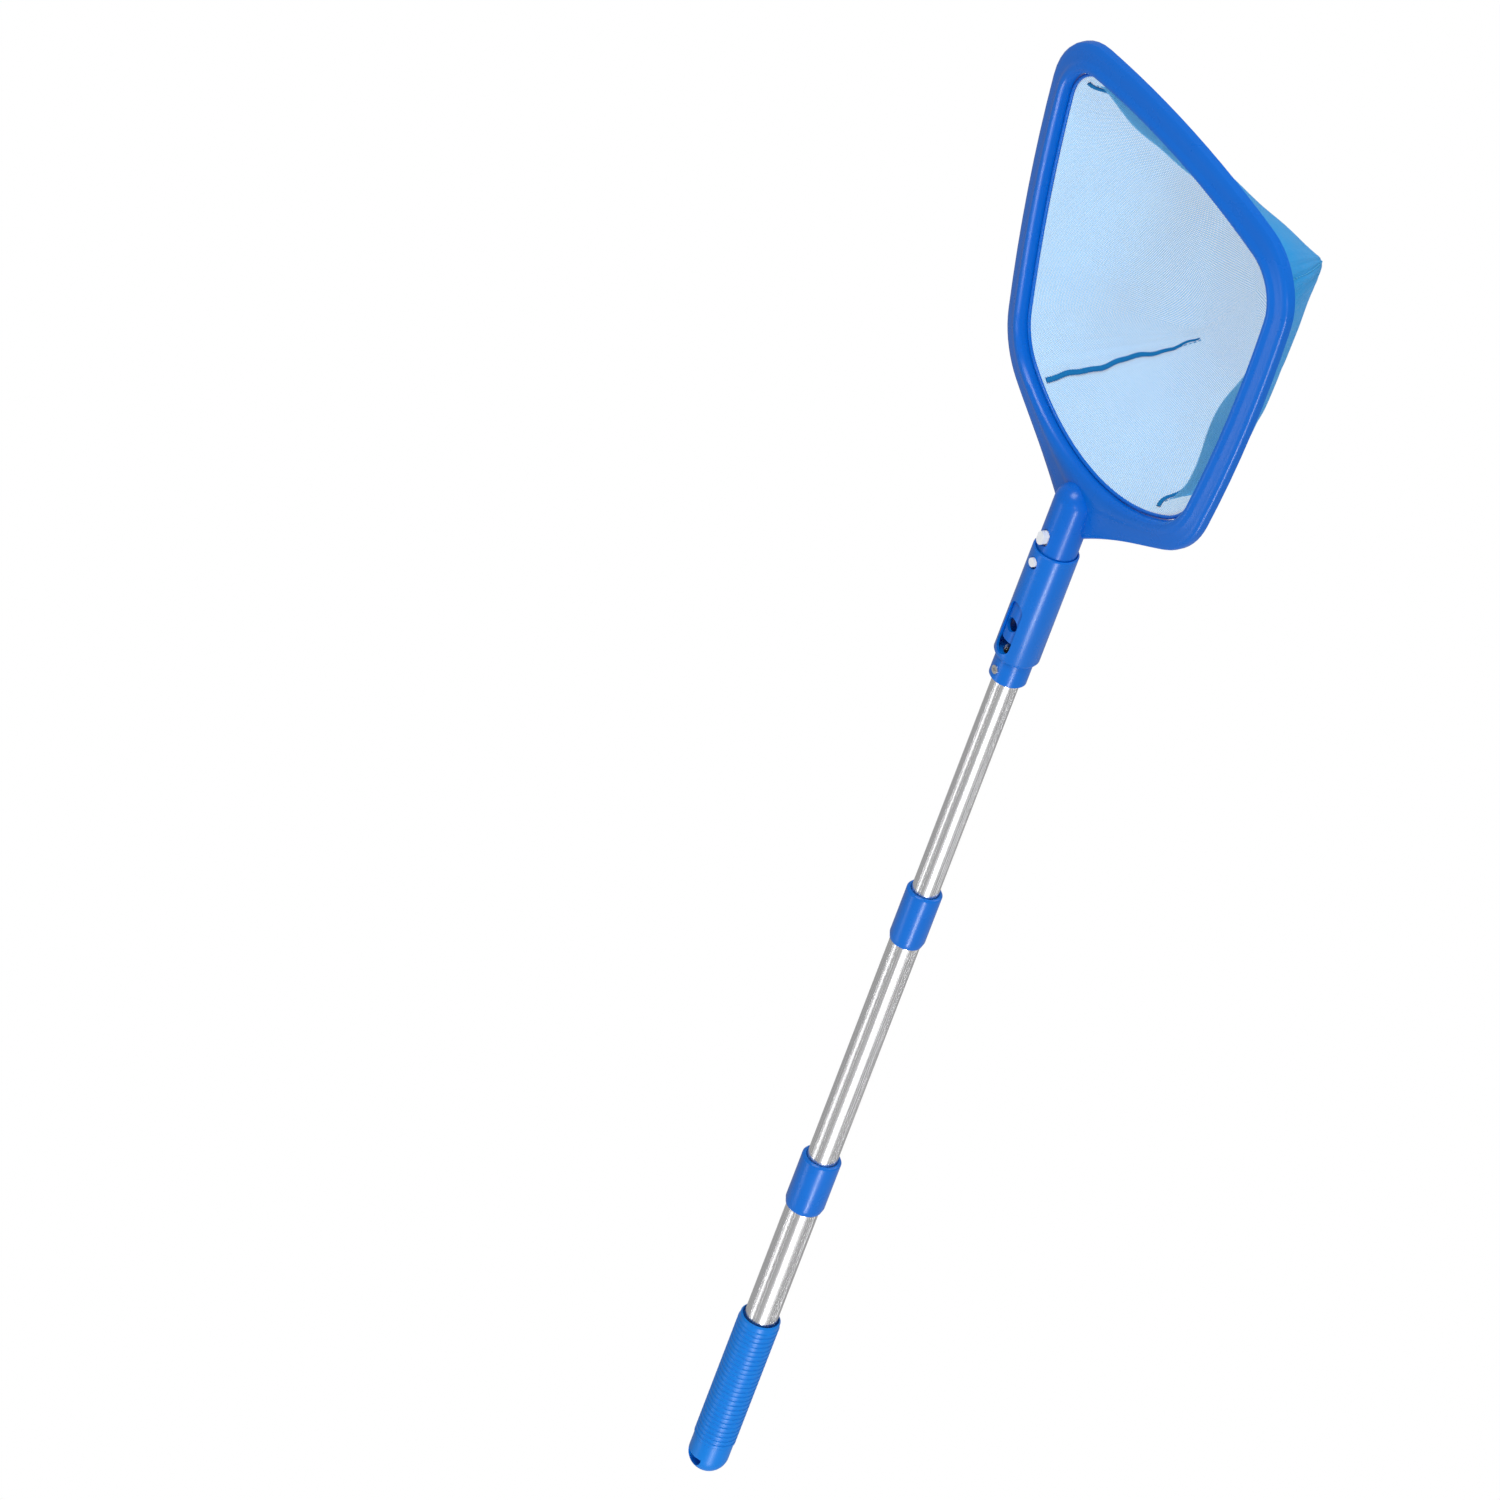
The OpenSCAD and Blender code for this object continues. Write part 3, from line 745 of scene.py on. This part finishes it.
# The outside finish: the thread's deep blue, partly painted shade, with its holes nearly closed for
# the doubled cloth.
NET_OUTSIDE_WITH_PAINTED_SHADE = net_material(
    "net_outside_with_painted_shade", thread=(0.0, 0.27, 0.70), pale=(0.0, 0.36, 0.82),
    cover=0.99, gap=0.93, back_cover=0.10,
)
net.data.materials.append(NET_INSIDE_PAINTED_LIGHT)
net.data.materials.append(NET_OUTSIDE_WITH_PAINTED_SHADE)
thicken = net.modifiers.new("cloth", "SOLIDIFY")
thicken.thickness = CLOTH_THICK
thicken.offset = -1
thicken.material_offset = 1
thicken.material_offset_rim = 1
apply_modifier(net, "cloth")
net.data.shade_smooth()
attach(net, "net_head")
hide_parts("net_bag")
print("net faces", len(net.data.polygons))


# %% [markdown]
# ## The overlocked seams
# Each dart is closed on an overlocker, which leaves a thick ribbed edge of looped thread standing
# inside the bag, and a row of stitches outside. The ribbed edge is swept along the cloth, narrower
# towards the dart's end, with a rib for each loop. The stitches are short beads along the outside.

# %% The seam's rings, in mm along the cloth
SEAM_HALF = 1.75
SEAM_THICK = 0.75
SEAM_CLEAR = 0.15  # how far the ribbed edge stands off the cloth
SEAM_SECTION = 12
SEAM_STEPS = 190
LOOP_PITCH = 1.5
LOOP_SWELL = 0.16
WANDERS = ((0.16, 1, 1.0), (0.43, 2, 0.35))  # radians for each mm, share of the phase, mm
WANDER_FROM = 6
NARROW_BY = 0.72
NARROW_CURVE = 2.5
SEAM_LOOK = 0.03  # how far to each side the direction is taken from
BAG_MIDDLE_DEPTH = 30
STITCH_GAP = 3.4
STITCH_LONG = 2.1
STITCH_HALF = 0.42
STITCH_HIGH = 0.34
STITCH_OUT = 0.62
STITCH_SECTION = 6
STITCH_ENDS = ((0, 0.45), (0.25, 1.0), (0.75, 1.0), (1, 0.45))  # share of its length, size
STITCHES_FROM = 0.06
STITCHES_TO = 0.97


def surface_frame(i, s):
    """A point of the cloth, the direction down the dart, across it, and out of the cloth inward."""
    p = sewn_point(i, s)
    down = sewn_point(i, min(1.0, s + SEAM_LOOK)) - sewn_point(i, max(0.0, s - SEAM_LOOK))
    down /= np.linalg.norm(down)
    inward = np.array([SWAY / 2, p[1] - BAG_MIDDLE_DEPTH, CENTRE[1]]) - p
    lift = inward - down * inward.dot(down)
    lift /= np.linalg.norm(lift)
    return p, down, np.cross(down, lift), lift


def seam_rings(i, ends, phase):
    rings = []
    travelled, before = 0.0, None
    for k in range(SEAM_STEPS + 1):
        t = k / SEAM_STEPS
        s = ends[0] + (ends[1] - ends[0]) * t
        p, down, across, lift = surface_frame(i, s)
        if before is not None:
            travelled += np.linalg.norm(p - before)
        before = p
        wander = sum(math.sin(travelled * rate + phase * k) * size for rate, k, size in WANDERS)
        rib = 1 + LOOP_SWELL * math.cos(travelled / LOOP_PITCH * 2 * math.pi)
        fade = 1 - NARROW_BY * t ** NARROW_CURVE
        centre = p + across * wander * min(1, t * WANDER_FROM) + lift * (SEAM_THICK + SEAM_CLEAR)
        ring = []
        for m in range(SEAM_SECTION):
            a = 2 * math.pi * m / SEAM_SECTION
            wide = SEAM_HALF * fade * rib * math.cos(a)
            high = SEAM_THICK * (0.45 + 0.55 * fade) * rib * math.sin(a)
            ring.append(centre + across * wide + lift * high)
        rings.append(ring)
    return rings


def stitch_rings(i, at, length):
    """One stitch outside the dart: a short bead that lies along it, 0.7 mm thick."""
    rings = []
    for t, size in STITCH_ENDS:
        p, _, across, lift = surface_frame(i, min(1.0, at + length * t))
        centre = p - lift * STITCH_OUT
        wide, high = across * STITCH_HALF * size, lift * STITCH_HIGH * size
        rings.append([
            centre + wide * math.cos(a) + high * math.sin(a)
            for a in np.linspace(0, 2 * math.pi, STITCH_SECTION, endpoint=False)
        ])
    return rings


print("a seam is", 2 * SEAM_HALF, "mm wide, with a loop every", LOOP_PITCH, "mm")


# %% [markdown]
# ## From rings to a seam
# The rings are joined to one closed tube. A curve with a bevel would sweep the seam too, but it
# can't swell at each loop. The stitches are beads in the same mesh, with a thread of their own.

# %% Join the rings, and make a whole seam

def add_tube(bm, rings, mat_index):
    """Closed tube through rings of points, with a flat cap at each end."""
    made = [[bm.verts.new(tuple(p)) for p in lean(ring)] for ring in rings]
    count = len(made[0])
    faces = []
    for a, b in zip(made, made[1:]):
        for m in range(count):
            n = (m + 1) % count
            faces.append(bm.faces.new((a[m], a[n], b[n], b[m])))
    faces.append(bm.faces.new(made[0][::-1]))
    faces.append(bm.faces.new(made[-1]))
    for f in faces:
        f.material_index = mat_index
        f.smooth = True


def dart_length(i):
    path = upright[:SIDE_ROWS + 1, i]
    return np.linalg.norm(np.diff(path, axis=0), axis=1).sum()


def make_seam(label, phase, ends):
    i = CORNERS[label]
    bm = bmesh.new()
    add_tube(bm, seam_rings(i, ends, phase), 0)
    run = dart_length(i)
    at = STITCHES_FROM
    while at < STITCHES_TO:
        add_tube(bm, stitch_rings(i, at, STITCH_LONG / run), 1)
        at += STITCH_GAP / run
    bmesh.ops.recalc_face_normals(bm, faces=bm.faces)
    mesh = bpy.data.meshes.new("overlock_" + label)
    bm.to_mesh(mesh)
    bm.free()
    obj = bpy.data.objects.new("overlock_" + label, mesh)
    bpy.context.scene.collection.objects.link(obj)
    obj.data.materials.append(SEAM_THREAD)
    obj.data.materials.append(STITCH_THREAD)
    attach(obj, "net_head")
    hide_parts("seam_" + label)
    return obj, run


print("darts", [round(float(dart_length(i)), 1) for i in CORNERS.values()], "mm long")


# %% [markdown]
# ## Thread
# Overlock thread is matt and hairy, with darker flecks of its own. Stripes across the seam would
# need a map, so a fine noise on object coordinates makes the depth and the darker flecks. The same
# noise darkens the thread where it is lowest, so the dark is partly the thread's own flecks and
# partly a painted shade in the grooves between loops.

# %% The thread group and the two threads
FLECK_SCALE = 900.0
THREAD_ROUGHNESS = 0.75
THREAD_GLOSS = 0.2
THREAD_HEIGHT = 0.0003
THREAD_STRENGTH = 0.6


def make_thread_group():
    tree, inp, out = new_group(
        "thread_flecks_and_groove_shade",
        [
            ("Dark Colour", "NodeSocketColor", (0.0, 0.1, 0.3, 1)),
            ("Light Colour", "NodeSocketColor", (0.0, 0.2, 0.5, 1)),
        ],
        [("Colour", "NodeSocketColor"), ("Height", "NodeSocketFloat")],
    )
    place = add(tree, "ShaderNodeTexCoord").outputs["Object"]
    flecks_and_groove_shade = add(tree, "ShaderNodeTexNoise", Scale=FLECK_SCALE, Detail=3.0, Roughness=0.7)
    tree.links.new(place, flecks_and_groove_shade.inputs["Vector"])
    dark, light = inp.outputs["Dark Colour"], inp.outputs["Light Colour"]
    # The darker colour falls where the height is lowest: partly the thread's flecks, partly painted
    # shade in the grooves.
    tree.links.new(blend_colours(tree, flecks_and_groove_shade.outputs[0], dark, light), out.inputs["Colour"])
    tree.links.new(flecks_and_groove_shade.outputs[0], out.inputs["Height"])
    return tree


THREAD_FLECKS_AND_GROOVE_SHADE = make_thread_group()


def thread_material(name, dark, light):
    mat, tree, shader = start_material(name)
    group = place_group(tree, THREAD_FLECKS_AND_GROOVE_SHADE, {"Dark Colour": dark, "Light Colour": light})
    tree.links.new(group.outputs["Colour"], shader.inputs["Base Color"])
    shader.inputs["Roughness"].default_value = THREAD_ROUGHNESS
    shader.inputs["Specular IOR Level"].default_value = THREAD_GLOSS
    bump_from(tree, group.outputs["Height"], THREAD_HEIGHT, THREAD_STRENGTH, shader)
    return mat


SEAM_THREAD = thread_material("overlock_thread", (0.0, 0.10, 0.30), (0.01, 0.24, 0.55))
STITCH_THREAD = thread_material("outside_stitches", (0.03, 0.30, 0.62), (0.12, 0.50, 0.80))
print("threads", SEAM_THREAD.name, STITCH_THREAD.name)


# %% [markdown]
# ## The four seams
# One function makes all four, each with its own phase, so that no two wander alike, and its own
# span: the ribbed edge stops a little short of the corner, where the dart runs out.

# %% Make the four seams
SEAM_SPANS = {  # phase, then where it starts and ends from the mouth (0) to the bottom (1)
    "far_left": (0.2, (0.02, 0.93)),
    "far_right": (1.7, (0.02, 0.95)),
    "near_left": (2.9, (0.02, 0.97)),
    "near_right": (4.1, (0.02, 0.90)),
}
for label, (phase, ends) in SEAM_SPANS.items():
    seam, run = make_seam(label, phase, ends)
    print(label, "dart", round(run, 1), "mm")


# %% [markdown]
# ## Studio
# The object stands on nothing and throws no shadow, as on a light table. The floor is far below it
# and the world is the same white, but only the camera sees them so bright: to the object itself
# they are a soft grey, which keeps the blue deep and leaves something for the metal to reflect.
# An evenly white world would be simpler, and would wash every blue out.

# %% Floor and world
FLOOR_Z = -2.0
FLOOR_SIZE = 40
ROOM_LIGHT = 0.38
WHITE = (1, 1, 1, 1)


def camera_white(tree, strength, dim):
    """Full white for the camera, and dim for the light that reaches the object."""
    seen = tree.nodes.new("ShaderNodeLightPath").outputs["Is Camera Ray"]
    power = calc(tree, "ADD", calc(tree, "MULTIPLY", seen, 1.0 - dim), dim)
    tree.links.new(power, strength)


deselect()
bpy.ops.mesh.primitive_plane_add(size=FLOOR_SIZE, location=(0, 0, FLOOR_Z))
floor = bpy.context.active_object
floor.name = "studio_floor"
pale, pale_tree, pale_shader = start_material("pale_floor")
pale_shader.inputs["Base Color"].default_value = (0.0, 0.0, 0.0, 1)
pale_shader.inputs["Roughness"].default_value = 1.0
pale_shader.inputs["Specular IOR Level"].default_value = 0.0
pale_shader.inputs["Emission Color"].default_value = WHITE
camera_white(pale_tree, pale_shader.inputs["Emission Strength"], ROOM_LIGHT)
paint(floor, pale)

world = bpy.data.worlds.new("studio")
bpy.context.scene.world = world
world.use_nodes = True
backdrop = world.node_tree.nodes["Background"]
backdrop.inputs["Color"].default_value = WHITE
camera_white(world.node_tree, backdrop.inputs["Strength"], ROOM_LIGHT)
print("floor at", FLOOR_Z)


# %% [markdown]
# ## Camera
# A long lens from seven metres keeps the far end of the pole almost as wide as the near end, as a
# catalogue view has it. The camera is turned about its own line of sight too, so that the pole
# runs across the frame. Its three axes are worked out one from the other and put in a matrix,
# because Euler angles for a turned and rolled camera are hard to read and to change.

# %% Camera at the viewing angle
TURN = math.radians(46.2)
RISE = math.radians(34.1)
ROLL = math.radians(20.4)
DISTANCE = 7.0
LENS = 288.5
SENSOR = 36
OBJECT_MIDDLE = Vector((0, 0, 0.5))
AIM_LEFT = 0.1184
AIM_UP = 0.0391
CLIP_END = 100


def direction(turn, rise):
    """The way from the object to a place turned and raised from straight in front of it."""
    return Vector((
        math.sin(turn) * math.cos(rise),
        -math.cos(turn) * math.cos(rise),
        math.sin(rise),
    ))


back = direction(TURN, RISE)
level = Vector((math.cos(TURN), math.sin(TURN), 0))
upward = back.cross(level)
right = level * math.cos(ROLL) + upward * math.sin(ROLL)
above = -level * math.sin(ROLL) + upward * math.cos(ROLL)
aim = OBJECT_MIDDLE - right * AIM_LEFT + above * AIM_UP
camera = bpy.data.objects.new("camera", bpy.data.cameras.new("camera"))
bpy.context.scene.collection.objects.link(camera)
place = aim + back * DISTANCE
axes = Matrix((right, above, back)).transposed().to_4x4()
axes.translation = place
camera.matrix_world = axes
camera.data.lens = LENS
camera.data.sensor_width = SENSOR
camera.data.clip_end = CLIP_END
bpy.context.scene.camera = camera
print("camera at", [round(v, 3) for v in place])


# %% [markdown]
# ## Lights
# A round pole mirrors a lamp as a thin line along itself, so what lights it best is a lamp as long
# as it is. The camera looks down on the pole, and a line then only shows from a lamp that stands
# as far below the object's level as the camera is above it. That is why two tall strips stand
# low. The key gives the light from above, the edge parts the frame from the white behind it, and
# the small lamp at the mouth reaches into the bag.

# %% Lamps
LAMPS = [  # name, turn and rise in degrees, distance, width, height in metres, power in watts
    ("key", -32, 62, 2.4, 1.0, 1.0, 28),
    ("low_strip", 24, -34, 2.3, 0.3, 1.9, 30),
    ("left_low", -62, -30, 2.4, 0.4, 1.9, 5),
    ("edge", 118, 40, 2.2, 0.8, 1.2, 12),
    ("mouth", 10, 6, 3.0, 0.7, 0.7, 7),
]
for lamp_name, turn, rise, distance, width, height, power in LAMPS:
    light = bpy.data.lights.new(lamp_name, "AREA")
    light.shape = "RECTANGLE"
    light.size = width
    light.size_y = height
    light.energy = power
    lamp = bpy.data.objects.new(lamp_name, light)
    bpy.context.scene.collection.objects.link(lamp)
    out = direction(TURN + math.radians(turn), math.radians(rise))
    lamp.location = OBJECT_MIDDLE + out * distance
    lamp.rotation_mode = "QUATERNION"
    lamp.rotation_quaternion = (-out).to_track_quat("-Z", "Y")
print("lights", len(LAMPS))
bpy.context.scene.view_settings.view_transform = "Standard"
